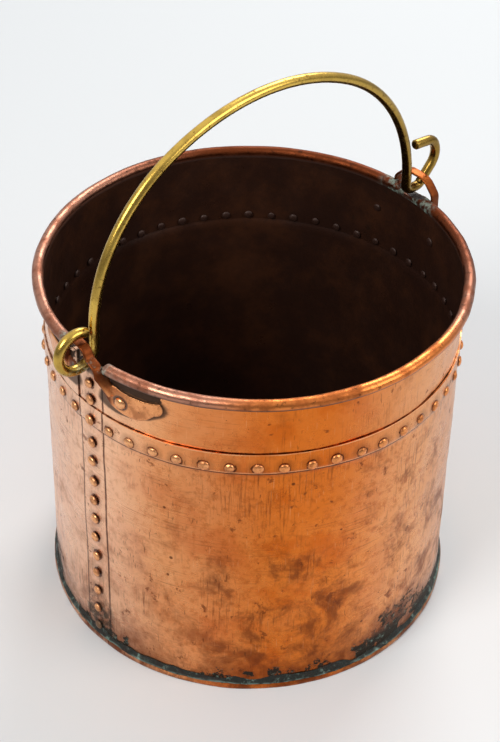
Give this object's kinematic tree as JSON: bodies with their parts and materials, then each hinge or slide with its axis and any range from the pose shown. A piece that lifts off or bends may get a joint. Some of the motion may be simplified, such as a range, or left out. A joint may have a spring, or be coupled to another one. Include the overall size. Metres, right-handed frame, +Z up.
{
  "type": "log bucket",
  "caption": "Round riveted copper log bucket with a rolled rim and a brass rod bail hung in two strap lugs.",
  "frame": {"origin": "centre of the underside of the bottom, on the plane the bucket stands on", "axes": "+Z up along the bucket's axis; +X parallel to the bail's hinge line, which passes 6.8 mm to the -Y side of the axis, towards the end with the open hook; the lapped seam on the -X side"},
  "size_m": [0.4509, 0.4, 0.5357],
  "materials": {
    "copper": "hammered, worn polish",
    "brass": "aged satin",
    "iron": "dull",
    "solder": "dull, tarnished"
  },
  "bodies": {
    "bucket": {"body_sheet": "copper", "collar_sheet": "copper", "rim_wire": "iron", "base_pan": "copper", "base_solder": "solder", "band_rivets": "copper", "body_seam_rivets": "copper", "collar_seam_rivets": "copper", "ring_lug": "copper", "hook_lug": "copper", "ring_lug_rivets": "copper", "hook_lug_rivets": "copper"},
    "bail": {"bail": "brass"}
  },
  "joints": [
    {"name": "bail_swing", "type": "hinge", "parent": "bucket", "child": "bail", "pos_m": [0, -0.0068, 0.3515], "axis": [1, 0, 0], "range_deg": [-70, 70]}
  ]
}
